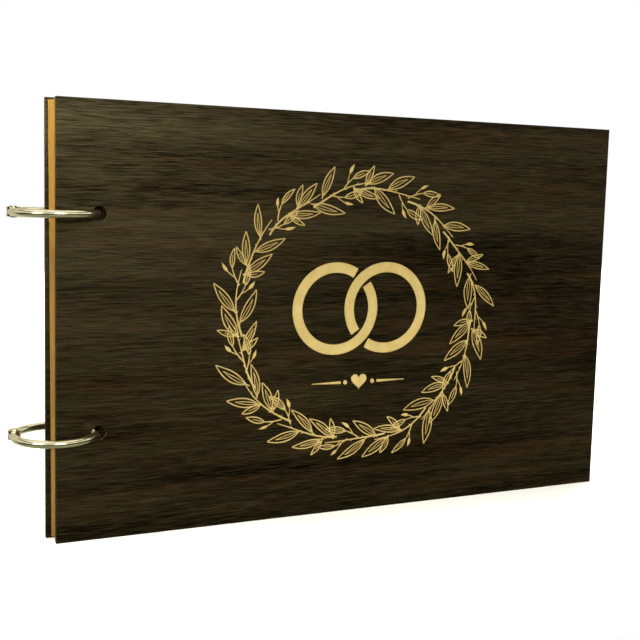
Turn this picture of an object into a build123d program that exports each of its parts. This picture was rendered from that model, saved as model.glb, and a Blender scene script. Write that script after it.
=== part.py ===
"""Wedding guest book: two veneered boards and loose card leaves on two hinged book rings.

The closed book stands on its long edge.  X runs along the width from the spine to the fore
edge, Y runs through the thickness from the front board to the back board, and Z is up.
The shape is worked out about the rings' common axis, and then the whole book is moved so
that the origin lies at the bottom centre of its bounding box.  Sizes are in millimetres.
"""
from build123d import *

import math
import os

# Boards: a fibre core with a wood veneer on each face
BOARD_WIDTH = 300.0
BOARD_HEIGHT = 200.0
CORE_THICKNESS = 2.5
VENEER_THICKNESS = 0.25

# Leaves: loose kraft card, a little smaller than the boards all round
LEAF_COUNT = 18
LEAF_THICKNESS = 0.28
LEAF_GAP = 0.06
LEAF_INSET = 1.0
LEAF_SPINE_INSET = 1.7  # as LEAF_INSET, but on the spine side, which bares the back board
LEAF_TURN = 0.35  # degrees that the last leaf leans towards the spine at its top

# Ring holes through boards and leaves
HOLE_FROM_SPINE = 19.0
UPPER_HOLE_FROM_TOP = 50.4
LOWER_HOLE_FROM_TOP = 150.0
HOLE_CLEARANCE = 0.45  # on each side of the wire, where it slants through the back board
LEAN_CLEARANCE = 0.30  # between the wire and the side of the hole that it leans on

# Book rings: two halves of round wire, hinged at one end and snapped at the other
RING_RADIUS = 18.0
WIRE_DIAMETER = 3.7
RING_FORWARD = 3.4  # how far the ring's centre lies in front of the middle of the stack
SNAP_STANDOFF = 3.2  # length of wire between the front board and the snap joint
SEAM_GAP = 0.08

# Snap: a peg on the gate that enters a socket in the fixed half
PEG_DIAMETER = 1.5
PEG_LENGTH = 2.0
PEG_CLEARANCE = 0.20

# Hinge: a fork on the fixed half, a tongue on the gate and a rivet through both
KNUCKLE_FLARE = 2.1  # how much wider than the wire the knuckle is
KNUCKLE_RISE = 0.5  # how much higher than the wire the knuckle is
TONGUE_HEIGHT = 1.4
HINGE_CLEARANCE = 0.12
RIVET_DIAMETER = 1.9
RIVET_RUNNING_FIT = 0.05
RIVET_HEAD_DIAMETER = 3.4
RIVET_HEAD_HEIGHT = 0.45

# Derived places, about the rings' axis
BOARD_THICKNESS = CORE_THICKNESS + 2 * VENEER_THICKNESS
LEAF_PITCH = LEAF_THICKNESS + LEAF_GAP
BLOCK_THICKNESS = LEAF_COUNT * LEAF_PITCH + LEAF_GAP
FRONT_INNER_Y = RING_FORWARD - BLOCK_THICKNESS / 2
FRONT_OUTER_Y = FRONT_INNER_Y - BOARD_THICKNESS
BACK_INNER_Y = RING_FORWARD + BLOCK_THICKNESS / 2
BACK_OUTER_Y = BACK_INNER_Y + BOARD_THICKNESS
WIRE_RADIUS = WIRE_DIAMETER / 2
KNUCKLE_RADIUS = (WIRE_DIAMETER + KNUCKLE_FLARE) / 2
KNUCKLE_HEIGHT = WIRE_DIAMETER + KNUCKLE_RISE
UPPER_HOLE_Z = BOARD_HEIGHT - UPPER_HOLE_FROM_TOP
LOWER_HOLE_Z = BOARD_HEIGHT - LOWER_HOLE_FROM_TOP
MIDDLE_HOLE_Z = (UPPER_HOLE_Z + LOWER_HOLE_Z) / 2
SNAP_ANGLE = math.degrees((SNAP_STANDOFF - FRONT_OUTER_Y) / RING_RADIUS)
HINGE_ANGLE = SNAP_ANGLE + 180.0


def wire_spine_side(y):
    """X of the ring's inner side in the plane at this Y, about the rings' axis."""
    return math.sqrt((RING_RADIUS - WIRE_RADIUS) ** 2 - y**2)


def wire_fore_side(y):
    """X of the ring's outer side in the plane at this Y, about the rings' axis."""
    return math.sqrt((RING_RADIUS + WIRE_RADIUS) ** 2 - y**2)


# The holes are as wide as the wire's slanting way through the back board needs
SLANTED_WIRE_WIDTH = wire_fore_side(BACK_INNER_Y) - wire_spine_side(BACK_OUTER_Y)
HOLE_RADIUS = SLANTED_WIRE_WIDTH / 2 + HOLE_CLEARANCE

# The front board leans on the wires from one side and the back board from the other
FRONT_DEEPEST_Y = max(abs(FRONT_OUTER_Y), abs(FRONT_INNER_Y))
FRONT_HOLE_X = wire_spine_side(FRONT_DEEPEST_Y) - LEAN_CLEARANCE + HOLE_RADIUS
BACK_HOLE_X = wire_fore_side(BACK_INNER_Y) + LEAN_CLEARANCE - HOLE_RADIUS


def plate(width, height, spine_x, base_z, front_y, thickness):
    """An upright rectangular sheet from its spine edge, bottom edge and front face."""
    corner = Pos(spine_x, front_y, base_z)
    return corner * Box(width, thickness, height, align=(Align.MIN, Align.MIN, Align.MIN))


def hole_cutter(x, z, front_y, thickness):
    """A cylinder along Y that clears a sheet of this thickness."""
    middle = Pos(x, front_y + thickness / 2, z)
    return middle * Rot(90, 0, 0) * Cylinder(HOLE_RADIUS, 2 * thickness)


def punched_sheet(width, height, hole_x, base_z, spine_margin, front_y, thickness):
    """A sheet with both ring holes, placed by the X of its holes."""
    sheet = plate(width, height, hole_x - spine_margin, base_z, front_y, thickness)
    for z in (UPPER_HOLE_Z, LOWER_HOLE_Z):
        sheet -= hole_cutter(hole_x, z, front_y, thickness)
    return sheet


def board_layers(side, hole_x, front_y):
    """The three layers of a board, from its front face to its back face."""
    skins = {"front": ("outer_veneer", "inner_veneer"), "back": ("inner_veneer", "outer_veneer")}
    first_skin, last_skin = skins[side]
    layers = {}
    y = front_y
    for name, thickness in (
        (first_skin, VENEER_THICKNESS),
        ("core", CORE_THICKNESS),
        (last_skin, VENEER_THICKNESS),
    ):
        layers[f"{side}_{name}"] = punched_sheet(
            BOARD_WIDTH, BOARD_HEIGHT, hole_x, 0, HOLE_FROM_SPINE, y, thickness
        )
        y += thickness
    return layers


def leaves():
    """The loose leaves, each shifted and leaning a little more than the one before it."""
    width = BOARD_WIDTH - LEAF_INSET - LEAF_SPINE_INSET
    height = BOARD_HEIGHT - 2 * LEAF_INSET
    spine_margin = HOLE_FROM_SPINE - LEAF_SPINE_INSET
    sheets = {}
    for number in range(1, LEAF_COUNT + 1):
        depth = number / (LEAF_COUNT + 1)
        hole_x = FRONT_HOLE_X + depth * (BACK_HOLE_X - FRONT_HOLE_X)
        front_y = FRONT_INNER_Y + LEAF_GAP + (number - 1) * LEAF_PITCH
        sheet = punched_sheet(
            width, height, hole_x, LEAF_INSET, spine_margin, front_y, LEAF_THICKNESS
        )
        turn_axis = Axis((hole_x, 0, MIDDLE_HOLE_Z), (0, -1, 0))
        sheets[f"leaf_{number:02d}"] = sheet.rotate(turn_axis, LEAF_TURN * depth)
    return sheets


def on_ring(angle):
    """The point of the ring's centreline at this angle, counted from +X towards the front."""
    turn = math.radians(angle)
    return Vector(RING_RADIUS * math.cos(turn), -RING_RADIUS * math.sin(turn), 0)


def wire_arc(first_angle, last_angle):
    """Round wire along the ring between two angles, counted from +X towards the front."""
    span = last_angle - first_angle
    arc = Torus(RING_RADIUS, WIRE_RADIUS, major_angle=span, align=None)
    return Rot(0, 0, -last_angle) * arc


def peg_at_snap(radius, length):
    """A peg along the wire that starts at the snap seam and enters the fixed half."""
    start = on_ring(SNAP_ANGLE)
    inwards = Vector(start.Y, -start.X, 0).normalized() * -1
    return Solid.extrude(
        Face(Wire(Edge.make_circle(radius, Plane(start, z_dir=inwards)))), inwards * length
    )


def at_hinge(shape):
    """Moves a shape from the origin to the rivet's place on the ring."""
    return Pos(on_ring(HINGE_ANGLE)) * shape


def fixed_half():
    """The half that threads the stack: socket at the snap, fork at the hinge."""
    seam = math.degrees(SEAM_GAP / RING_RADIUS)
    half = wire_arc(HINGE_ANGLE - 360, SNAP_ANGLE - seam)
    half += at_hinge(Cylinder(KNUCKLE_RADIUS, KNUCKLE_HEIGHT))
    slot_radius = KNUCKLE_RADIUS + HINGE_CLEARANCE
    half -= at_hinge(Cylinder(slot_radius, TONGUE_HEIGHT + 2 * HINGE_CLEARANCE))
    half -= at_hinge(Cylinder(RIVET_DIAMETER / 2, 2 * KNUCKLE_HEIGHT))
    half -= peg_at_snap(PEG_DIAMETER / 2 + PEG_CLEARANCE, PEG_LENGTH + 2 * PEG_CLEARANCE)
    return half


def gate_half():
    """The half that swings open: peg at the snap, tongue at the hinge."""
    arc = wire_arc(SNAP_ANGLE, HINGE_ANGLE)
    tongue_reach = KNUCKLE_RADIUS + HINGE_CLEARANCE
    tongue = arc & at_hinge(Cylinder(2 * tongue_reach, TONGUE_HEIGHT))
    tongue += at_hinge(Cylinder(tongue_reach - 2 * HINGE_CLEARANCE, TONGUE_HEIGHT))
    arc -= at_hinge(Cylinder(tongue_reach, 2 * KNUCKLE_HEIGHT))
    gate = arc + tongue
    gate -= at_hinge(Cylinder(RIVET_DIAMETER / 2 + RIVET_RUNNING_FIT, 2 * KNUCKLE_HEIGHT))
    return gate + peg_at_snap(PEG_DIAMETER / 2, PEG_LENGTH)


def rivet():
    """The hinge's rivet: a plain shank with a low head on each end."""
    body = Cylinder(RIVET_DIAMETER / 2, KNUCKLE_HEIGHT)
    for side in (-1, 1):
        head_z = side * (KNUCKLE_HEIGHT + RIVET_HEAD_HEIGHT) / 2
        body += Pos(0, 0, head_z) * Cylinder(RIVET_HEAD_DIAMETER / 2, RIVET_HEAD_HEIGHT)
    return at_hinge(body)


def ring(name, z):
    """The three pieces of one book ring at this height."""
    lift = Pos(0, 0, z)
    return {
        f"{name}_ring_fixed_half": lift * fixed_half(),
        f"{name}_ring_gate_half": lift * gate_half(),
        f"{name}_ring_rivet": lift * rivet(),
    }


def guest_book():
    """Every piece of the closed book, about the rings' axis, by node name."""
    return {
        **board_layers("front", FRONT_HOLE_X, FRONT_OUTER_Y),
        **leaves(),
        **board_layers("back", BACK_HOLE_X, BACK_INNER_Y),
        **ring("upper", UPPER_HOLE_Z),
        **ring("lower", LOWER_HOLE_Z),
    }


def base_centre(pieces):
    """The bottom centre of the bounding box of all the pieces."""
    boxes = [piece.bounding_box() for piece in pieces.values()]
    low_x = min(box.min.X for box in boxes)
    high_x = max(box.max.X for box in boxes)
    low_y = min(box.min.Y for box in boxes)
    high_y = max(box.max.Y for box in boxes)
    low_z = min(box.min.Z for box in boxes)
    return Vector((low_x + high_x) / 2, (low_y + high_y) / 2, low_z)


PIECES = guest_book()
ORIGIN = base_centre(PIECES)

os.makedirs("parts", exist_ok=True)
for node, piece in PIECES.items():
    export_step(Pos(-ORIGIN) * piece, f"parts/{node}.step")
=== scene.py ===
"""Looks of the wedding guest book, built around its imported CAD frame.

The book stands closed on its long edge, with its front board towards -Y and its spine and
rings towards -X.  Every length is in metres unless a name ends in _mm.
"""

import logging
import math
import random
from dataclasses import dataclass, field
from enum import Enum

import bpy
from mathutils import Matrix, Vector
from mathutils.geometry import delaunay_2d_cdt


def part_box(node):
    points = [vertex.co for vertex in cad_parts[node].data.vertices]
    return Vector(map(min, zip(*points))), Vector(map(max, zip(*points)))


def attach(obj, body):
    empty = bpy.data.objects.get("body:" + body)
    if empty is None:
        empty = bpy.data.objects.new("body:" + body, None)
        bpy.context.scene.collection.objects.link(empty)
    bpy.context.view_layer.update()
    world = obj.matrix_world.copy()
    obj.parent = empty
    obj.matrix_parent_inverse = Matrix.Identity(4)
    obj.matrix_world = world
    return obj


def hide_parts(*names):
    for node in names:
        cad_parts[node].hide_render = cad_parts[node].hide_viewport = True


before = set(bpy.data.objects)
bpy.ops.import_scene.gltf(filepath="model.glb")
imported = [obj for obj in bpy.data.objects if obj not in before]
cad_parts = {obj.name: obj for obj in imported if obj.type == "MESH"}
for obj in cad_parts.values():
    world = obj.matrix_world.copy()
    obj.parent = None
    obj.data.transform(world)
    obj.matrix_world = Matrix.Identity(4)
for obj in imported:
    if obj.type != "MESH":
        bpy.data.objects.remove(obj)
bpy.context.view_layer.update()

MM = 0.001
LOG = logging.getLogger("guest_book")

Point = tuple[float, float]
Loop = list[Point]
Colour = tuple[float, float, float]
Shade = tuple[float, float, float, float]
Grain = tuple[float, float, float]
Reach = tuple[float, float]


def linear(red: int, green: int, blue: int) -> Shade:
    """Turns a display colour into the linear colour that a shader takes.

    Args:
        red: Red from 0 to 255.
        green: Green from 0 to 255.
        blue: Blue from 0 to 255.

    Returns:
        The linear colour with an alpha of 1.
    """
    def one(value: int) -> float:
        """Turns one part by the sRGB curve."""
        share = value / 255
        return share / 12.92 if share <= 0.04045 else ((share + 0.055) / 1.055) ** 2.4

    return one(red), one(green), one(blue), 1.0


# ---------------------------------------------------------------- finishes


@dataclass(frozen=True)
class Layer:
    """A colour laid over a finish wherever a noise lies high, or low if shown_at < hidden_at."""

    hidden_at: float
    shown_at: float
    share: float
    colour: Shade


class Graph:
    """A material's node tree, with short calls that add and join its nodes."""

    def __init__(self, name: str) -> None:
        """Starts a material that holds only its shader and its output.

        Args:
            name: The material's name.
        """
        self.material = bpy.data.materials.new(name)
        self.material.use_nodes = True
        self.tree = self.material.node_tree
        self.shader = self.tree.nodes["Principled BSDF"]
        self.place = self.node("ShaderNodeTexCoord").outputs["Object"]

    def node(self, kind: str, **values: object) -> bpy.types.Node:
        """Adds a node and sets its properties and unlinked inputs.

        Args:
            kind: The node's type.
            **values: Properties by name, or inputs by their name with underscores.

        Returns:
            The new node.
        """
        made = self.tree.nodes.new(kind)
        for key, value in values.items():
            socket = made.inputs.get(key.replace("_", " "))
            if hasattr(made, key):
                setattr(made, key, value)
            elif isinstance(value, bpy.types.NodeSocket):
                self.tree.links.new(value, socket)
            else:
                socket.default_value = value
        return made

    def feed(self, socket: bpy.types.NodeSocket, value: object) -> None:
        """Links an input to a socket, or sets it to a plain value.

        Args:
            socket: The input.
            value: Another node's socket, or a number or colour.
        """
        if isinstance(value, bpy.types.NodeSocket):
            self.tree.links.new(value, socket)
        else:
            socket.default_value = value

    def noise(self, per_metre: Grain, detail: float = 4.0, rough: float = 0.55,
              warp: float = 0.0) -> bpy.types.NodeSocket:
        """Gives a noise over the object's own coordinates.

        Args:
            per_metre: How many of its features a metre holds along X, Y and Z.
            detail: How many finer octaves it has.
            rough: How strong those octaves are.
            warp: How much it is distorted.

        Returns:
            The noise's socket.
        """
        mapping = self.node("ShaderNodeMapping", Vector=self.place)
        mapping.inputs["Scale"].default_value = per_metre
        made = self.node("ShaderNodeTexNoise", Vector=mapping.outputs["Vector"], Scale=1.0,
                         Detail=detail, Roughness=rough, Distortion=warp)
        return made.outputs["Fac"]

    def ramp(self, value: bpy.types.NodeSocket, stops: list[tuple[float, Shade]]) -> bpy.types.NodeSocket:
        """Maps a value from 0 to 1 onto colours.

        Args:
            value: The socket to map.
            stops: Positions and linear colours, from low to high.

        Returns:
            The colour socket.
        """
        made = self.node("ShaderNodeValToRGB", Fac=value)
        points = made.color_ramp.elements
        while len(points) < len(stops):
            points.new(0.5)
        for point, (position, colour) in zip(points, stops):
            point.position = position
            point.color = colour
        return made.outputs["Color"]

    def span(self, value: bpy.types.NodeSocket, low: float, high: float,
             to_low: float = 0.0, to_high: float = 1.0) -> bpy.types.NodeSocket:
        """Maps a value's span onto another span, and clamps it.

        Args:
            value: The socket to map.
            low: Where its span starts.
            high: Where its span ends.
            to_low: What low becomes.
            to_high: What high becomes.

        Returns:
            The mapped socket.
        """
        made = self.node("ShaderNodeMapRange", Value=value, clamp=True)
        made.inputs["From Min"].default_value = low
        made.inputs["From Max"].default_value = high
        made.inputs["To Min"].default_value = to_low
        made.inputs["To Max"].default_value = to_high
        return made.outputs["Result"]

    def mix(self, share: object, first: object, second: object) -> bpy.types.NodeSocket:
        """Mixes two colours.

        Args:
            share: How much of the second shows, as a socket or a number.
            first: The first colour, as a socket or a linear colour.
            second: The second colour.

        Returns:
            The mixed colour.
        """
        made = self.node("ShaderNodeMix", data_type="RGBA")
        for name, value in (("Factor_Float", share), ("A_Color", first), ("B_Color", second)):
            self.feed(next(s for s in made.inputs if s.identifier == name), value)
        return next(s for s in made.outputs if s.identifier == "Result_Color")

    def lay(self, under: object, noise: bpy.types.NodeSocket, layer: Layer) -> bpy.types.NodeSocket:
        """Lays one layer over a colour.

        Args:
            under: The colour below, as a socket or a linear colour.
            noise: The noise that says where the layer shows.
            layer: The layer.

        Returns:
            The new colour.
        """
        share = self.span(noise, layer.hidden_at, layer.shown_at, 0.0, layer.share)
        return self.mix(share, under, layer.colour)

    def maths(self, operation: str, first: object, second: object = 0.0) -> bpy.types.NodeSocket:
        """Does one sum.

        Args:
            operation: The sum's name in the node.
            first: The first value, as a socket or a number.
            second: The second value.

        Returns:
            The result.
        """
        made = self.node("ShaderNodeMath", operation=operation)
        for socket, value in zip(made.inputs, (first, second)):
            self.feed(socket, value)
        return made.outputs[0]

    def facing_y(self) -> bpy.types.NodeSocket:
        """Tells a sheet's faces, which look along Y, from its cut edges.

        Returns:
            A socket that is 1 on the faces and 0 on the edges.
        """
        half_way = 0.5
        flat = self.node("ShaderNodeNewGeometry").outputs["True Normal"]
        own = self.node("ShaderNodeVectorTransform", vector_type="NORMAL",
                        convert_from="WORLD", convert_to="OBJECT", Vector=flat)
        parts = self.node("ShaderNodeSeparateXYZ", Vector=own.outputs["Vector"])
        return self.maths("GREATER_THAN", self.maths("ABSOLUTE", parts.outputs["Y"]), half_way)

    def distance_in_plane(self, centre: Point) -> bpy.types.NodeSocket:
        """Gives the distance from an axis that runs along Y.

        Args:
            centre: The axis's X and Z.

        Returns:
            The distance's socket, in metres.
        """
        offset = self.node("ShaderNodeVectorMath", operation="SUBTRACT")
        self.feed(offset.inputs[0], self.place)
        offset.inputs[1].default_value = (centre[0], 0.0, centre[1])
        flat = self.node("ShaderNodeVectorMath", operation="MULTIPLY")
        self.feed(flat.inputs[0], offset.outputs[0])
        flat.inputs[1].default_value = (1.0, 0.0, 1.0)
        length = self.node("ShaderNodeVectorMath", operation="LENGTH")
        self.feed(length.inputs[0], flat.outputs[0])
        return length.outputs["Value"]

    def bump(self, height: bpy.types.NodeSocket, depth: float, strength: float) -> None:
        """Raises the surface by a height socket, over a depth in metres."""
        made = self.node("ShaderNodeBump", Height=height, Distance=depth, Strength=strength)
        self.feed(self.shader.inputs["Normal"], made.outputs["Normal"])

    def wire_up(self, colour: object, rough: object, **constants: object) -> bpy.types.Material:
        """Joins colour and roughness to the shader, and sets its constant inputs.

        Args:
            colour: A colour socket, or a linear colour.
            rough: A socket, or a number.
            **constants: Other inputs of the shader, with underscores for spaces.

        Returns:
            The finished material.
        """
        self.feed(self.shader.inputs["Base Color"], colour)
        self.feed(self.shader.inputs["Roughness"], rough)
        for name, value in constants.items():
            self.feed(self.shader.inputs[name.replace("_", " ")], value)
        return self.material


@dataclass(frozen=True)
class VeneerFinish:
    """Dark wenge veneer with its grain along X, under a satin lacquer."""

    name: str = "dark_wenge_veneer"
    deepest: Shade = linear(5, 3, 1)
    dark: Shade = linear(11, 7, 2)
    olive: Shade = linear(23, 18, 6)
    bands: Grain = (3.5, 3, 58)
    tints: Grain = (6, 5, 105)
    streaks: Grain = (11, 9, 480)
    fibres: Grain = (75, 60, 1700)
    pores: Grain = (60, 60, 1150)
    band_stops: tuple[float, float, float] = (0.38, 0.48, 0.62)
    russet: Layer = Layer(0.48, 0.62, 0.85, linear(36, 20, 6))
    pale_streak: Layer = Layer(0.50, 0.72, 0.36, linear(50, 37, 13))
    dark_streak: Layer = Layer(0.50, 0.32, 0.60, linear(5, 3, 1))
    pale_fibre: Layer = Layer(0.50, 0.70, 0.50, linear(50, 37, 13))
    dark_fibre: Layer = Layer(0.50, 0.32, 0.75, linear(5, 3, 1))
    pore_span: Reach = (0.59, 0.66)
    pore_share: float = 0.85
    pore_depth: float = 0.9
    relief_mm: float = 0.09
    relief_strength: float = 0.8
    roughness: Reach = (0.32, 0.45)
    rough_span: Reach = (0.3, 0.7)
    lacquer: Shade = (1.0, 0.88, 0.52, 1.0)
    gloss: Reach = (0.0, 0.78)
    gloss_from_fibres: float = 0.6
    fibre_gloss_span: Reach = (0.36, 0.68)
    band_gloss_span: Reach = (0.38, 0.64)

    def build(self) -> bpy.types.Material:
        """Builds broad bands, streaks, pores and fine fibres, all drawn out along X.

        Returns:
            The veneer's material.
        """
        g = Graph(self.name)
        bands = g.noise(self.bands, rough=0.5)
        tints = g.noise(self.tints, detail=3)
        streaks = g.noise(self.streaks, detail=6, rough=0.66)
        fibres = g.noise(self.fibres, rough=0.7)
        pores = g.noise(self.pores, detail=3, rough=0.6)
        body = g.ramp(bands, list(zip(self.band_stops, (self.deepest, self.dark, self.olive))))
        for noise, layer in ((tints, self.russet), (streaks, self.pale_streak), (streaks, self.dark_streak),
                             (fibres, self.pale_fibre), (fibres, self.dark_fibre)):
            body = g.lay(body, noise, layer)
        open_pores = g.span(pores, *self.pore_span)
        body = g.mix(g.maths("MULTIPLY", open_pores, self.pore_share), body, self.deepest)
        height = g.maths("SUBTRACT", fibres, g.maths("MULTIPLY", open_pores, self.pore_depth))
        g.bump(height, self.relief_mm * MM, self.relief_strength)
        rough = g.span(streaks, *self.rough_span, *self.roughness)
        by_fibre = g.span(fibres, *self.fibre_gloss_span, 0.0, self.gloss_from_fibres)
        by_band = g.span(bands, *self.band_gloss_span, 0.0, 1.0 - self.gloss_from_fibres)
        gloss = g.span(g.maths("ADD", by_fibre, by_band), 0.0, 1.0, *self.gloss)
        made = g.wire_up(body, rough, Specular_Tint=self.lacquer, Specular_IOR_Level=sum(self.gloss) / 2)
        g.feed(g.shader.inputs["Specular IOR Level"], gloss)
        return made


@dataclass(frozen=True)
class ScorchFinish:
    """The brown edge that a laser leaves where it cuts veneer or board."""

    name: str = "scorched_edge"
    char: Shade = linear(26, 17, 9)
    brown: Shade = linear(92, 66, 34)
    plies: Grain = (60, 9000, 60)
    burns: Grain = (220, 300, 220)
    roughness: float = 0.75
    gloss: float = 0.2

    def build(self) -> bpy.types.Material:
        """Builds fine layers through the thickness with uneven scorching along the cut.

        Returns:
            The edge's material.
        """
        g = Graph(self.name)
        colour = g.lay(self.char, g.noise(self.plies, detail=2), Layer(0.3, 0.7, 1.0, self.brown))
        colour = g.lay(colour, g.noise(self.burns), Layer(0.40, 0.66, 0.7, self.char))
        return g.wire_up(colour, self.roughness, Specular_IOR_Level=self.gloss)


@dataclass(frozen=True)
class FibreCoreFinish:
    """Pale fibre board, which shows in the engraving, with scorched edges and holes."""

    name: str = "fibre_core_board"
    pale: Shade = linear(200, 180, 122)
    char: Shade = linear(20, 13, 7)
    clouds: Grain = (160, 160, 160)
    fibres: Grain = (1500, 1500, 2600)
    plies: Grain = (40, 3200, 40)
    burns: Grain = (90, 300, 90)
    tan_cloud: Layer = Layer(0.35, 0.65, 1.0, linear(188, 166, 106))
    fleck: Layer = Layer(0.55, 0.78, 0.55, linear(156, 130, 76))
    brown_ply: Layer = Layer(0.35, 0.68, 1.0, linear(62, 43, 22))
    burn: Layer = Layer(0.45, 0.70, 0.7, linear(20, 13, 7))
    relief_mm: float = 0.05
    relief_strength: float = 0.5
    roughness: float = 0.82
    gloss: float = 0.15

    def build(self) -> bpy.types.Material:
        """Builds pressed fibres on the faces, and layered scorching on the cut edges.

        Returns:
            The core's material.
        """
        g = Graph(self.name)
        fibres = g.noise(self.fibres, rough=0.7)
        face = g.lay(self.pale, g.noise(self.clouds), self.tan_cloud)
        face = g.lay(face, fibres, self.fleck)
        edge = g.lay(self.char, g.noise(self.plies, detail=3), self.brown_ply)
        edge = g.lay(edge, g.noise(self.burns), self.burn)
        g.bump(fibres, self.relief_mm * MM, self.relief_strength)
        colour = g.mix(g.facing_y(), edge, face)
        return g.wire_up(colour, self.roughness, Specular_IOR_Level=self.gloss)


@dataclass(frozen=True)
class KraftFinish:
    """Kraft card: brown paper with pale and dark fibres, and laser-cut holes with painted shade round them.
    """

    name: str = "kraft_card"
    deep: Shade = linear(148, 110, 58)
    cut_pale: Shade = linear(142, 118, 32)
    cut_deep: Shade = linear(96, 75, 10)
    # The colour of the painted shade round the holes.
    char: Shade = linear(22, 14, 7)
    body_cloud: Layer = Layer(0.35, 0.65, 1.0, linear(164, 126, 72))
    pale_strand: Layer = Layer(0.56, 0.74, 0.5, linear(190, 158, 104))
    deep_fleck: Layer = Layer(0.68, 0.76, 0.6, linear(148, 110, 58))
    bright_fleck: Layer = Layer(0.66, 0.72, 0.8, linear(226, 204, 138))
    tone_span: Reach = (0.36, 0.66)
    tone_spread: float = 0.10
    across_first: float = 4000
    across_step: float = 37
    # How far the painted shade reaches out from each hole's edge, and how dark it gets there.
    hole_shade_mm: float = 1.5
    hole_shade_share: float = 0.96
    relief_mm: float = 0.04
    relief_strength: float = 0.5
    roughness: float = 0.86
    gloss: float = 0.2

    def build(self, leaf: int, holes: list[tuple[Point, float]]) -> bpy.types.Material:
        """Builds the card of one leaf, with painted shade darkening it round its holes.

        Args:
            leaf: The leaf's number, which shifts its fibres and its tone a little.
            holes: The centre and radius of each of its holes.

        Returns:
            The leaf's material.
        """
        g = Graph(f"{self.name}_{leaf:02d}")
        across = self.across_first + self.across_step * leaf
        strands = g.noise((700, across, 240), rough=0.7, warp=1.2)
        flecks = g.noise((1300, across, 1300), detail=2)
        face = g.lay(self.deep, g.noise((70, across, 90), detail=5), self.body_cloud)
        face = g.lay(face, strands, self.pale_strand)
        face = g.lay(face, flecks, self.deep_fleck)
        lift = random.Random(leaf).uniform(-self.tone_spread, self.tone_spread)
        low, high = (end + lift for end in self.tone_span)
        tone = g.noise((3, across, 22), rough=0.65)
        edge = g.lay(self.cut_deep, tone, Layer(low, high, 1.0, self.cut_pale))
        edge = g.lay(edge, flecks, self.bright_fleck)
        colour = g.mix(g.facing_y(), edge, face)
        # Painted shade: darkens the card near each hole, on its faces and on the hole's wall, as if the
        # hole fell into shade.
        for centre, radius in holes:
            hole_shade = Layer(radius + self.hole_shade_mm * MM, radius, self.hole_shade_share, self.char)
            colour = g.lay(colour, g.distance_in_plane(centre), hole_shade)
        g.bump(strands, self.relief_mm * MM, self.relief_strength)
        return g.wire_up(colour, self.roughness, Specular_IOR_Level=self.gloss)


@dataclass(frozen=True)
class NickelFinish:
    """Bright nickel plating, faintly warm, with fine rubbing marks."""

    name: str = "bright_nickel"
    metal: Shade = linear(240, 236, 214)
    worn: Layer = Layer(0.40, 0.72, 1.0, linear(216, 208, 168))
    clouds: Grain = (300, 300, 300)
    scratches: Grain = (2200, 2200, 9000)
    roughness: Reach = (0.11, 0.20)
    rough_span: Reach = (0.35, 0.75)
    scratch_span: Reach = (0.62, 0.74)
    scratch_roughness: float = 0.08
    relief_mm: float = 0.01
    relief_strength: float = 0.12

    def build(self) -> bpy.types.Material:
        """Builds the plating with soft cloudy wear and fine scratches in its gloss.

        Returns:
            The plating's material.
        """
        g = Graph(self.name)
        wear = g.noise(self.clouds)
        marks = g.noise(self.scratches, detail=3)
        rough = g.maths("ADD", g.span(wear, *self.rough_span, *self.roughness),
                        g.span(marks, *self.scratch_span, 0.0, self.scratch_roughness))
        g.bump(marks, self.relief_mm * MM, self.relief_strength)
        return g.wire_up(g.lay(self.metal, wear, self.worn), rough, Metallic=1.0)


@dataclass(frozen=True)
class BackdropFinish:
    """Plain pale studio paper."""

    name: str = "studio_paper"
    white: Shade = (0.82, 0.82, 0.815, 1.0)
    roughness: float = 0.9

    def build(self) -> bpy.types.Material:
        """Builds an even matt white."""
        return Graph(self.name).wire_up(self.white, self.roughness, Specular_IOR_Level=0.0)


# ---------------------------------------------------------------- engraving


class SprigKind(Enum):
    """What grows from a node of the wreath's stem."""

    LEAF = "one long leaf"
    PAIR = "two leaves"
    BRANCH = "a bent branch with a leaf and a bud"


def turned(vector: Vector, angle: float) -> Vector:
    """Turns a flat vector anticlockwise by an angle in radians."""
    return Matrix.Rotation(angle, 2) @ vector


def on_circle(angle: float, radius: float) -> Vector:
    """Gives the point of a circle about the origin at an angle in radians."""
    return Vector((math.cos(angle), math.sin(angle))) * radius


def anticlockwise(loop: Loop) -> Loop:
    """Gives the loop in anticlockwise order."""
    area = sum(a[0] * b[1] - b[0] * a[1] for a, b in zip(loop, loop[1:] + loop[:1]))
    return loop if area > 0 else loop[::-1]


def ribbon(path: list[Vector], widths: list[float]) -> Loop:
    """Draws one engraved stroke as a closed outline.

    Args:
        path: The stroke's middle line.
        widths: The stroke's full width at each point.

    Returns:
        The outline, anticlockwise.
    """
    left, right = [], []
    for index, (here, width) in enumerate(zip(path, widths)):
        before, after = path[max(index - 1, 0)], path[min(index + 1, len(path) - 1)]
        along = (after - before).normalized()
        side = Vector((-along.y, along.x)) * width / 2
        left.append(tuple(here + side))
        right.append(tuple(here - side))
    return anticlockwise(left + right[::-1])


def swell(share: float, power: float = 1.0) -> float:
    """Rises from 0 to 1 and falls back to 0 as share runs from 0 to 1."""
    return max(math.sin(math.pi * min(max(share, 0.0), 1.0)), 0.0) ** power


def tapered(count: int, middle: float, end: float) -> list[float]:
    """Gives stroke widths that swell from the ends to the middle."""
    return [end + (middle - end) * swell(i / (count - 1), 0.6) for i in range(count)]


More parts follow.
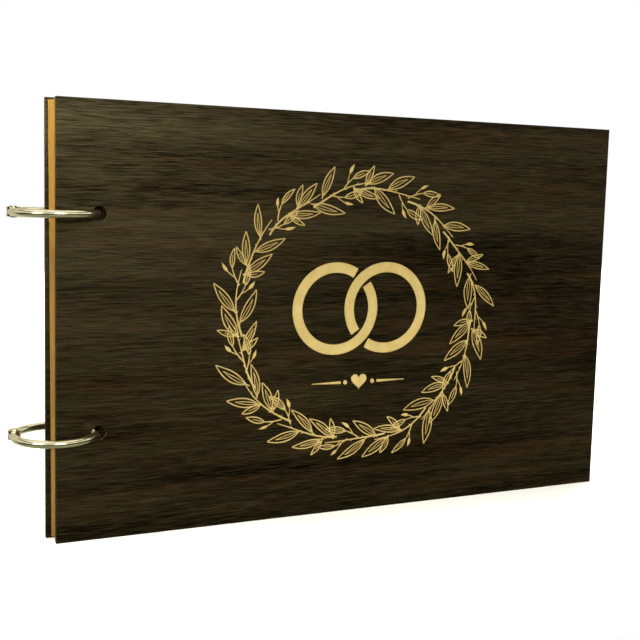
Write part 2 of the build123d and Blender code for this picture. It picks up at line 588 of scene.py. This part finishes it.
@dataclass
class MiddleLine:
    """A bent line, with its points and the unit vectors across it."""

    root: Vector
    heading: Vector
    bend: float
    length: float
    points: list[Vector] = field(default_factory=list)
    across: list[Vector] = field(default_factory=list)

    def __post_init__(self) -> None:
        """Steps along the line, which turns evenly by bend radians over its length."""
        steps = 24
        here = self.root.copy()
        for index in range(steps + 1):
            along = turned(self.heading, self.bend * index / steps)
            self.points.append(here.copy())
            self.across.append(Vector((-along.y, along.x)))
            here += along * self.length / steps

    def at(self, share: float) -> tuple[Vector, Vector]:
        """Samples the line.

        Args:
            share: How far along its length.

        Returns:
            The point there and the unit vector across the line.
        """
        spot = min(max(share, 0.0), 1.0) * (len(self.points) - 1)
        low = min(int(spot), len(self.points) - 2)
        part = spot - low
        here = self.points[low].lerp(self.points[low + 1], part)
        return here, self.across[low].lerp(self.across[low + 1], part).normalized()


@dataclass
class Wreath:
    """A ring of leafy sprigs, drawn in millimetres about its own centre."""

    width_radius_mm: float = 66.5
    height_radius_mm: float = 64.0
    sprigs: int = 15
    sprig_overlap: float = 0.22
    nodes: int = 66
    stem_mm: float = 1.05
    stem_taper: float = 0.55
    thorn_mm: float = 0.6
    stalk_mm: float = 0.75
    line_mm: float = 0.66
    line_end_mm: float = 0.50
    vein_mm: float = 0.46
    vein_end_mm: float = 0.28
    broad_leaf_mm: float = 11.0
    seed: int = 11
    loops: list[Loop] = field(default_factory=list)

    def on_stem(self, turn: float) -> Vector:
        """Gives a point of the stem, which wanders a little in and out.

        Args:
            turn: How far round it lies, in radians clockwise from the top.

        Returns:
            The point.
        """
        wander = 1 + 0.016 * math.sin(5 * turn + 0.6) + 0.011 * math.sin(9 * turn + 2.1)
        across = self.width_radius_mm * wander * math.sin(turn)
        up = self.height_radius_mm * wander * math.cos(turn)
        return Vector((across, up))

    def flow(self, turn: float) -> Vector:
        """Gives the direction in which the stem grows at a turn."""
        step = 0.01
        return (self.on_stem(turn + step) - self.on_stem(turn - step)).normalized()

    def draw(self) -> list[Loop]:
        """Draws the stem and its thorns, and a sprig at each of its nodes.

        Returns:
            The closed outlines of every stroke.
        """
        chance = random.Random(self.seed)
        self.draw_stem(chance)
        kinds = (SprigKind.PAIR, SprigKind.LEAF, SprigKind.BRANCH)
        for node in range(self.nodes):
            turn = math.tau * (node + chance.uniform(-0.2, 0.2)) / self.nodes
            side = 1 if node % 2 == 0 else -1
            kind = kinds[(node // 2 + (1 if side < 0 else 0)) % len(kinds)]
            heading = turned(self.flow(turn), side * chance.uniform(0.60, 0.88))
            self.draw_sprig(self.on_stem(turn), heading, side, kind, chance)
        return self.loops

    def draw_stem(self, chance: random.Random) -> None:
        """Draws overlapping shoots along the ring, each with small thorns.

        Args:
            chance: The wreath's own source of chance.
        """
        points = 26
        thorn_every = 5
        for sprig in range(self.sprigs):
            start = math.tau * (sprig - 0.08) / self.sprigs
            length = math.tau * (1 + self.sprig_overlap) / self.sprigs
            drift_in, drift_out = chance.uniform(1.2, 2.4), chance.uniform(1.4, 3.2)
            path = []
            for index in range(points):
                share = index / (points - 1)
                turn = start + length * share
                outwards = turned(self.flow(turn), math.pi / 2)
                drift = drift_out * share**3 - drift_in * (1 - share) ** 3
                path.append(self.on_stem(turn) + outwards * drift)
            widths = [self.stem_mm * (1.0 - self.stem_taper * i / (points - 1)) for i in range(points)]
            self.loops.append(ribbon(path, widths))
            for index in range(thorn_every - 1, points - thorn_every + 1, thorn_every):
                along = (path[index + 1] - path[index]).normalized()
                side = chance.choice((-1, 1))
                tip = path[index] + turned(along, side * 0.7) * chance.uniform(1.3, 1.9)
                self.loops.append(ribbon([path[index], tip], [self.thorn_mm, self.thorn_mm / 2]))

    def draw_sprig(self, root: Vector, heading: Vector, side: int, kind: SprigKind,
                   chance: random.Random) -> None:
        """Draws what grows from one node of the stem.

        Args:
            root: The node's place.
            heading: The first direction of the main leaf or branch.
            side: 1 on the outside of the ring, -1 on the inside.
            kind: What grows there.
            chance: The wreath's own source of chance.
        """
        if kind is SprigKind.LEAF:
            self.draw_leaf(root, heading, side, chance.uniform(15.0, 18.5), chance)
        elif kind is SprigKind.PAIR:
            self.draw_leaf(root, turned(heading, -side * 0.10), side, chance.uniform(14.0, 17.0), chance)
            self.draw_leaf(root, turned(heading, side * 0.50), side, chance.uniform(8.5, 11.0), chance)
        else:
            branch = MiddleLine(root, heading, -side * 0.35, chance.uniform(7.5, 9.5))
            self.loops.append(ribbon(branch.points, [0.72 - 0.008 * i for i in range(len(branch.points))]))
            fork, _ = branch.at(0.5)
            end = branch.points[-1]
            end_heading = (end - branch.points[-2]).normalized()
            self.draw_leaf(end, turned(end_heading, -side * 0.15), side, chance.uniform(9.0, 11.5), chance,
                           stalk=0.1)
            self.draw_bud(fork, turned(end_heading, side * 0.80), side, chance)

    def draw_leaf(self, root: Vector, heading: Vector, side: int, length: float,
                  chance: random.Random, stalk: float | None = None) -> None:
        """Draws the outline and veins of one slender leaf.

        Args:
            root: Where its stalk starts.
            heading: Its first direction.
            side: The side of the stem it grows on, which sets its bend.
            length: The length of its blade.
            chance: The wreath's own source of chance.
            stalk: The length of its stalk, or None for a chance length.
        """
        width = length * chance.uniform(0.22, 0.29)
        stalk = chance.uniform(0.8, 2.2) if stalk is None else stalk
        middle = MiddleLine(root, heading, -side * chance.uniform(0.05, 0.45), stalk + length)
        first = stalk / (stalk + length)
        points = 22
        edges: dict[int, list[Vector]] = {1: [], -1: []}
        for index in range(points):
            share = index / (points - 1)
            here, across = middle.at(first + (1 - first) * share)
            half = width / 2 * swell(share**0.86, 0.95)
            for hand, path in edges.items():
                path.append(here + across * half * hand)
        for path in edges.values():
            self.loops.append(ribbon(path, tapered(points, self.line_mm, self.line_end_mm)))
        shortest_drawn_stalk = 0.5
        if stalk > shortest_drawn_stalk:
            into_blade = 1.2
            stalk_path = [middle.at(first * i / 3 * into_blade)[0] for i in range(4)]
            self.loops.append(ribbon(stalk_path, [self.stalk_mm, 0.68, 0.62, 0.58]))
        self.draw_veins(middle, first, width, length > self.broad_leaf_mm)

    def draw_veins(self, middle: MiddleLine, first: float, width: float, broad: bool) -> None:
        """Draws a narrow loop of vein in a broad leaf, or one line in a slim one.

        Args:
            middle: The middle line of the leaf and its stalk.
            first: The share of that line where the blade starts.
            width: The blade's width.
            broad: Whether the leaf is a broad one.
        """
        points = 14
        reach = 0.76 if broad else 0.66
        hands = (1, -1) if broad else (0,)
        for hand in hands:
            path = []
            for index in range(points):
                share = index / (points - 1)
                here, across = middle.at(first + (reach - first) * share)
                half = width * 0.15 * swell(share**0.9)
                path.append(here + across * half * hand)
            self.loops.append(ribbon(path, tapered(points, self.vein_mm, self.vein_end_mm)))

    def draw_bud(self, root: Vector, heading: Vector, side: int, chance: random.Random) -> None:
        """Draws a small solid leaf at the end of a bent stalk.

        Args:
            root: Where its stalk starts.
            heading: Its first direction.
            side: The side of the stem it grows on, which sets its bend.
            chance: The wreath's own source of chance.
        """
        stalk, length = chance.uniform(2.6, 5.0), chance.uniform(4.4, 6.2)
        width = chance.uniform(1.4, 1.9)
        middle = MiddleLine(root, heading, -side * chance.uniform(0.5, 0.9), stalk + length)
        first = stalk / (stalk + length)
        into_bud = 1.08
        stalk_path = [middle.at(first * i / 7 * into_bud)[0] for i in range(8)]
        self.loops.append(ribbon(stalk_path, [0.60 - 0.02 * i for i in range(8)]))
        points = 12
        thinnest = 0.05
        left, right = [], []
        for index in range(points):
            share = index / (points - 1)
            here, across = middle.at(first + (1 - first) * share)
            half = max(width / 2 * swell(share**0.75), thinnest)
            left.append(tuple(here + across * half))
            right.append(tuple(here - across * half))
        self.loops.append(anticlockwise(left + right[::-1]))


@dataclass
class LinkedBands:
    """Two plain linked wedding bands, drawn in millimetres about their own centre."""

    radius_mm: float = 20.6
    band_mm: float = 5.2
    apart_mm: float = 28.0
    gap_mm: float = 1.0
    steps: int = 118

    def draw(self) -> list[Loop]:
        """Draws each band as an arc that stops short of where the other passes over it.

        Returns:
            The closed outlines of both bands.
        """
        crossing = math.acos(self.apart_mm / 2 / self.radius_mm)
        half_gap = (self.band_mm / 2 + self.gap_mm) / self.radius_mm / math.sin(crossing) ** 0.5
        loops = []
        for side, under in ((-1, crossing), (1, math.pi + crossing)):
            centre = Vector((side * self.apart_mm / 2, 0))
            start, turn = under + half_gap, math.tau - 2 * half_gap
            path = [centre + on_circle(start + turn * i / self.steps, self.radius_mm)
                    for i in range(self.steps + 1)]
            loops.append(ribbon(path, [self.band_mm] * len(path)))
        return loops


@dataclass
class Divider:
    """A small heart between two tapered bars, drawn in millimetres about its centre."""

    dot_out_mm: float = 7.6
    dot_radius_mm: float = 1.15
    bar_from_mm: float = 10.0
    bar_to_mm: float = 26.0
    bar_mm: float = 1.5
    bar_taper: float = 0.72
    heart_mm: float = 4.4
    heart_lift_mm: float = 0.6

    def draw(self) -> list[Loop]:
        """Draws the heart, the bars and a dot at each bar's inner end.

        Returns:
            The closed outlines.
        """
        heart_points, dot_points, steps = 60, 24, 20
        heart = [self.heart_point(math.tau * i / heart_points) for i in range(heart_points)]
        loops = [anticlockwise(heart)]
        for side in (-1, 1):
            shares = [i / steps for i in range(steps + 1)]
            length = self.bar_to_mm - self.bar_from_mm
            path = [Vector((side * (self.bar_from_mm + length * share), 0)) for share in shares]
            loops.append(ribbon(path, [self.bar_mm * (1 - self.bar_taper * share) for share in shares]))
            centre = Vector((side * self.dot_out_mm, 0))
            loops.append([tuple(centre + on_circle(math.tau * i / dot_points, self.dot_radius_mm))
                          for i in range(dot_points)])
        return loops

    def heart_point(self, angle: float) -> Point:
        """Gives one point of the heart, by the usual heart curve, which is 32 wide.

        Args:
            angle: How far round it lies, in radians.

        Returns:
            The point.
        """
        across = 16 * math.sin(angle) ** 3
        up = 13 * math.cos(angle) - 5 * math.cos(2 * angle) - 2 * math.cos(3 * angle) - math.cos(4 * angle)
        scale = self.heart_mm / 16
        return across * scale, up * scale + self.heart_lift_mm


@dataclass
class EngravedVeneer:
    """The front board's outer veneer, with its engraving cut right through to the core."""

    motif_up_mm: float = 4.0
    divider_up_mm: float = -33.5
    hole_points: int = 72

    def outlines(self) -> list[Loop]:
        """Gathers everything that is engraved.

        Returns:
            The closed outlines, in millimetres about the board's centre.
        """
        loops = list(Wreath().draw())
        loops += shifted(LinkedBands().draw(), self.motif_up_mm)
        loops += shifted(Divider().draw(), self.divider_up_mm)
        return loops

    def build(self, finishes: tuple[bpy.types.Material, ...]) -> bpy.types.Object:
        """Builds the sheet from a flat triangulation, with real walls round every cut.

        Args:
            finishes: The finishes of the faces, of the outer edges and of the walls inside.

        Returns:
            The engraved veneer.
        """
        low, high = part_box("front_outer_veneer")
        centre = (Vector(low) + Vector(high)) / 2
        half = (Vector(high) - Vector(low)) / 2 / MM
        corners = [(-half.x, -half.z), (half.x, -half.z), (half.x, half.z), (-half.x, half.z)]
        flat, faces = triangulated([corners] + self.outlines() + self.ring_holes(centre))
        placed = [(centre.x + x * MM, centre.z + z * MM) for x, z in flat]
        return sheet_mesh("front_veneer_engraved", placed, faces, (low[1], high[1]), finishes)

    def ring_holes(self, centre: Vector) -> list[Loop]:
        """Gives the outlines of the ring holes, from the CAD sheet's own hole edges.

        Args:
            centre: The sheet's centre, in metres.

        Returns:
            The outlines, in millimetres about that centre.
        """
        loops = []
        for middle, radius in hole_circles("front_outer_veneer"):
            angles = [math.tau * i / self.hole_points for i in range(self.hole_points)]
            loops.append([((middle[0] - centre.x + radius * math.cos(a)) / MM,
                           (middle[1] - centre.z + radius * math.sin(a)) / MM) for a in angles])
        return loops


def shifted(loops: list[Loop], up: float) -> list[Loop]:
    """Moves outlines up by a distance."""
    return [[(x, y + up) for x, y in loop] for loop in loops]


def hole_circles(node: str) -> list[tuple[Point, float]]:
    """Finds a flat CAD sheet's round holes from the vertices inside its outline.

    Args:
        node: The sheet's node name.

    Returns:
        Each hole's centre in X and Z, and its radius.
    """
    low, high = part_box(node)
    margin = 1e-5
    inside = [v.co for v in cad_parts[node].data.vertices
              if all(low[axis] + margin < v.co[axis] < high[axis] - margin for axis in (0, 2))]
    middle = (low[2] + high[2]) / 2
    circles = []
    for group in ([p for p in inside if p.z > middle], [p for p in inside if p.z < middle]):
        xs, zs = [p.x for p in group], [p.z for p in group]
        centre = ((min(xs) + max(xs)) / 2, (min(zs) + max(zs)) / 2)
        circles.append((centre, (max(xs) - min(xs)) / 2))
    return circles


def triangulated(loops: list[Loop]) -> tuple[list[Point], list[tuple[int, ...]]]:
    """Triangulates the first loop's inside, less the insides of all the others.

    Args:
        loops: The sheet's outline and then every cut-out, all anticlockwise.

    Returns:
        The flat points, and the triangles that are left.
    """
    inside_only, merge_within = 1, 1e-6
    points, faces = [], []
    for loop in loops:
        faces.append(list(range(len(points), len(points) + len(loop))))
        points += [Vector(p) for p in loop]
    flat, _, triangles, _, _, owners = delaunay_2d_cdt(points, [], faces, inside_only, merge_within)
    kept = [tuple(t) for t, own in zip(triangles, owners) if set(own) == {0}]
    return [tuple(p) for p in flat], kept


def sheet_mesh(name: str, flat: list[Point], faces: list[tuple[int, ...]], planes: tuple[float, float],
               finishes: tuple[bpy.types.Material, ...]) -> bpy.types.Object:
    """Makes an upright sheet of flat triangles between two Y planes, closed all round.

    Args:
        name: The new piece's name.
        flat: Points in X and Z.
        faces: Triangles over those points, anticlockwise from the front.
        planes: Y of the front face and of the back face.
        finishes: The finishes of the faces, of the outer edges and of the walls inside.

    Returns:
        The new object.
    """
    used = sorted({index for face in faces for index in face})
    place = {index: spot for spot, index in enumerate(used)}
    count = len(used)
    vertices = [(flat[i][0], y, flat[i][1]) for y in planes for i in used]
    around = {(place[a], place[b]) for face in faces for a, b in zip(face, face[1:] + face[:1])}
    polygons = [tuple(place[i] for i in face) for face in faces]
    polygons += [tuple(place[i] + count for i in reversed(face)) for face in faces]
    walls = [(b, a, a + count, b + count) for a, b in around if (b, a) not in around]
    mesh = bpy.data.meshes.new(name)
    mesh.from_pydata(vertices, [], polygons + sorted(walls))
    for finish in finishes:
        mesh.materials.append(finish)
    limits = {axis: [pick(vertex[axis] for vertex in vertices) for pick in (min, max)] for axis in (0, 2)}
    for polygon in mesh.polygons[len(polygons):]:
        first, second = (vertices[i] for i in polygon.vertices[:2])
        outer = any(first[axis] == second[axis] and first[axis] in ends for axis, ends in limits.items())
        polygon.material_index = 1 if outer else 2
    mesh.update()
    made = bpy.data.objects.new(name, mesh)
    bpy.context.scene.collection.objects.link(made)
    return made


# ---------------------------------------------------------------- the book's sub-assemblies


def dress(node: str, material: bpy.types.Material) -> None:
    """Gives a CAD node one finish all over.

    Args:
        node: The node's name.
        material: The finish.
    """
    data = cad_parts[node].data
    data.materials.clear()
    data.materials.append(material)
    LOG.info("dressed %s with %s", node, material.name)


@dataclass
class Boards:
    """The two veneered boards."""

    veneer: VeneerFinish = VeneerFinish()
    core: FibreCoreFinish = FibreCoreFinish()
    scorch: ScorchFinish = ScorchFinish()
    cut: ScorchFinish = ScorchFinish("engraved_wall", linear(150, 122, 74), linear(220, 194, 132))

    def build(self) -> None:
        """Engraves the front veneer and dresses the other layers."""
        veneer, core = self.veneer.build(), self.core.build()
        engraved = EngravedVeneer().build((veneer, self.scorch.build(), self.cut.build()))
        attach(engraved, "front_cover")
        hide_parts("front_outer_veneer")
        LOG.info("built %s with %d faces", engraved.name, len(engraved.data.polygons))
        for node in ("front_inner_veneer", "back_inner_veneer", "back_outer_veneer"):
            dress(node, veneer)
        for node in ("front_core", "back_core"):
            dress(node, core)


@dataclass
class CardBlock:
    """The loose kraft leaves."""

    kraft: KraftFinish = KraftFinish()

    def build(self) -> None:
        """Dresses every leaf in its own card."""
        leaves = [node for node in sorted(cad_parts) if node.startswith("leaf_")]
        for number, node in enumerate(leaves, start=1):
            dress(node, self.kraft.build(number, hole_circles(node)))


@dataclass
class Rings:
    """The two book rings."""

    nickel: NickelFinish = NickelFinish()

    def build(self) -> None:
        """Dresses the halves and rivets of both rings."""
        material = self.nickel.build()
        for node in sorted(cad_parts):
            if "_ring_" in node:
                dress(node, material)


# ---------------------------------------------------------------- studio


@dataclass(frozen=True)
class SoftBox:
    """One area light, aimed at a point on the book."""

    name: str
    place: tuple[float, float, float]
    aim: tuple[float, float, float]
    size: tuple[float, float]
    watts: float
    tint: Colour = (1.0, 1.0, 1.0)
    mirrored: bool = True

    def build(self) -> None:
        """Hangs the light."""
        data = bpy.data.lights.new(self.name, "AREA")
        data.shape = "RECTANGLE"
        data.size, data.size_y = self.size
        data.energy = self.watts
        data.color = self.tint
        lamp = bpy.data.objects.new(self.name, data)
        lamp.location = self.place
        look = Vector(self.aim) - Vector(self.place)
        lamp.rotation_euler = look.to_track_quat("-Z", "Y").to_euler()
        lamp.visible_glossy = self.mirrored
        bpy.context.scene.collection.objects.link(lamp)


@dataclass(frozen=True)
class Room:
    """The light of the room: dim level bands for reflections, behind a plain white backdrop."""

    tint: Colour = (1.0, 0.96, 0.78)
    ground_tint: Colour = (0.96, 1.0, 0.66)
    ground_rise: float = -0.3
    bands: tuple[Point, ...] = (
        (-1.0, 0.20), (-0.56, 0.42), (-0.44, 0.08), (-0.10, 0.03), (0.06, 0.03), (0.14, 0.75),
        (0.40, 1.25), (0.49, 0.12), (0.66, 0.14), (0.74, 1.30), (1.0, 0.95))
    back_light: Shade = (0.62, 0.58, 0.44, 1.0)
    back_from: float = 0.25
    back_to: float = 0.70
    backdrop: Shade = (1.0, 1.0, 1.0, 1.0)

    def build(self) -> None:
        """Sets the world's light, which only the camera sees as plain white."""
        world = bpy.data.worlds.new("room")
        world.use_nodes = True
        nodes, links = world.node_tree.nodes, world.node_tree.links
        way = nodes.new("ShaderNodeSeparateXYZ")
        links.new(nodes.new("ShaderNodeTexCoord").outputs["Generated"], way.inputs[0])
        rise = nodes.new("ShaderNodeMapRange")
        rise.inputs["From Min"].default_value = -1.0
        links.new(way.outputs["Z"], rise.inputs["Value"])
        banded = nodes.new("ShaderNodeValToRGB")
        links.new(rise.outputs["Result"], banded.inputs["Fac"])
        self.fill_bands(banded.color_ramp)
        behind = nodes.new("ShaderNodeMapRange")
        behind.inputs["From Min"].default_value = self.back_from
        behind.inputs["From Max"].default_value = self.back_to
        links.new(way.outputs["Y"], behind.inputs["Value"])
        dim = nodes["Background"]
        back = nodes.new("ShaderNodeBackground")
        back.inputs["Color"].default_value = self.back_light
        white = nodes.new("ShaderNodeBackground")
        white.inputs["Color"].default_value = self.backdrop
        links.new(banded.outputs["Color"], dim.inputs["Color"])
        sides, seen = nodes.new("ShaderNodeMixShader"), nodes.new("ShaderNodeMixShader")
        camera_ray = nodes.new("ShaderNodeLightPath").outputs["Is Camera Ray"]
        for mixer, parts in ((sides, (behind.outputs["Result"], dim.outputs[0], back.outputs[0])),
                             (seen, (camera_ray, sides.outputs[0], white.outputs[0]))):
            for socket, part in zip(mixer.inputs, parts):
                links.new(part, socket)
        links.new(seen.outputs[0], nodes["World Output"].inputs["Surface"])
        bpy.context.scene.world = world

    def fill_bands(self, ramp: bpy.types.ColorRamp) -> None:
        """Puts the bands on a ramp that runs from straight down to straight up.

        Args:
            ramp: The ramp to fill.
        """
        while len(ramp.elements) < len(self.bands):
            ramp.elements.new(0.5)
        for point, (height, light) in zip(ramp.elements, self.bands):
            point.position = (height + 1) / 2
            tint = self.ground_tint if height < self.ground_rise else self.tint
            point.color = [light * part for part in tint] + [1.0]


@dataclass
class Studio:
    """Camera, lights, a white paper floor and the light of the room."""

    lens_mm: float = 56.33
    sensor_mm: float = 36.0
    camera_from_corner_mm: tuple[float, float, float] = (-71.7, -448.9, 163.4)
    camera_turn_deg: float = 24.301
    camera_dip_deg: float = 6.031
    camera_roll_deg: float = 1.574
    shift: Point = (-0.0109, -0.0402)
    floor_low: Point = (-1.3, -0.17)
    floor_high: Point = (1.7, 1.4)
    boxes: tuple[SoftBox, ...] = (
        SoftBox("sheen_box", (-0.05, -1.30, 0.52), (-0.1, 0.0, 0.15), (0.55, 0.4), 7, (1.0, 0.96, 0.76)),
        SoftBox("side_box", (-1.15, -0.75, 0.55), (0.0, 0.0, 0.1), (0.6, 0.9), 3.5),
        SoftBox("corner_box", (-0.24, 0.0, 0.27), (-0.14, 0.004, 0.19), (0.05, 0.05), 1.3,
                (1.0, 0.97, 0.86), mirrored=False),
        SoftBox("top_box", (0.05, 0.10, 1.25), (0.05, 0.10, 0.0), (1.5, 0.8), 16, mirrored=False),
        SoftBox("paper_box", (0.4, 0.9, 1.3), (0.4, 0.9, 0.0), (2.4, 0.9), 42, mirrored=False),
    )

    def build(self) -> None:
        """Sets up the whole studio."""
        self.build_camera()
        self.build_floor()
        for box in self.boxes:
            box.build()
        Room().build()
        bpy.context.scene.view_settings.view_transform = "Standard"

    def build_camera(self) -> None:
        """Places the camera before the front board's lower spine corner."""
        low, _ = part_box("front_outer_veneer")
        data = bpy.data.cameras.new("camera")
        data.lens = self.lens_mm
        data.sensor_width = self.sensor_mm
        data.shift_x, data.shift_y = self.shift
        data.clip_start = 10 * MM
        camera = bpy.data.objects.new("camera", data)
        camera.location = [c + o * MM for c, o in zip(low, self.camera_from_corner_mm)]
        turn, dip = math.radians(self.camera_turn_deg), math.radians(self.camera_dip_deg)
        level = Matrix.Rotation(-turn, 4, "Z") @ Matrix.Rotation(math.pi / 2 - dip, 4, "X")
        roll = Matrix.Rotation(math.radians(self.camera_roll_deg), 4, "Z")
        camera.rotation_euler = (level @ roll).to_euler()
        bpy.context.scene.collection.objects.link(camera)
        bpy.context.scene.camera = camera

    def build_floor(self) -> None:
        """Lays the paper on the floor."""
        (left, front), (right, back) = self.floor_low, self.floor_high
        mesh = bpy.data.meshes.new("studio_floor")
        mesh.from_pydata([(left, front, 0), (right, front, 0), (right, back, 0), (left, back, 0)],
                         [], [(0, 1, 2, 3)])
        mesh.materials.append(BackdropFinish().build())
        floor = bpy.data.objects.new("studio_floor", mesh)
        bpy.context.scene.collection.objects.link(floor)
        floor.visible_glossy = False


def main() -> None:
    """Builds the looks of the book and then its studio."""
    logging.basicConfig(level=logging.INFO, format="%(name)s: %(message)s")
    for part in (Boards(), CardBlock(), Rings(), Studio()):
        part.build()
        LOG.info("finished %s", type(part).__name__)


if __name__ == "__main__":
    main()
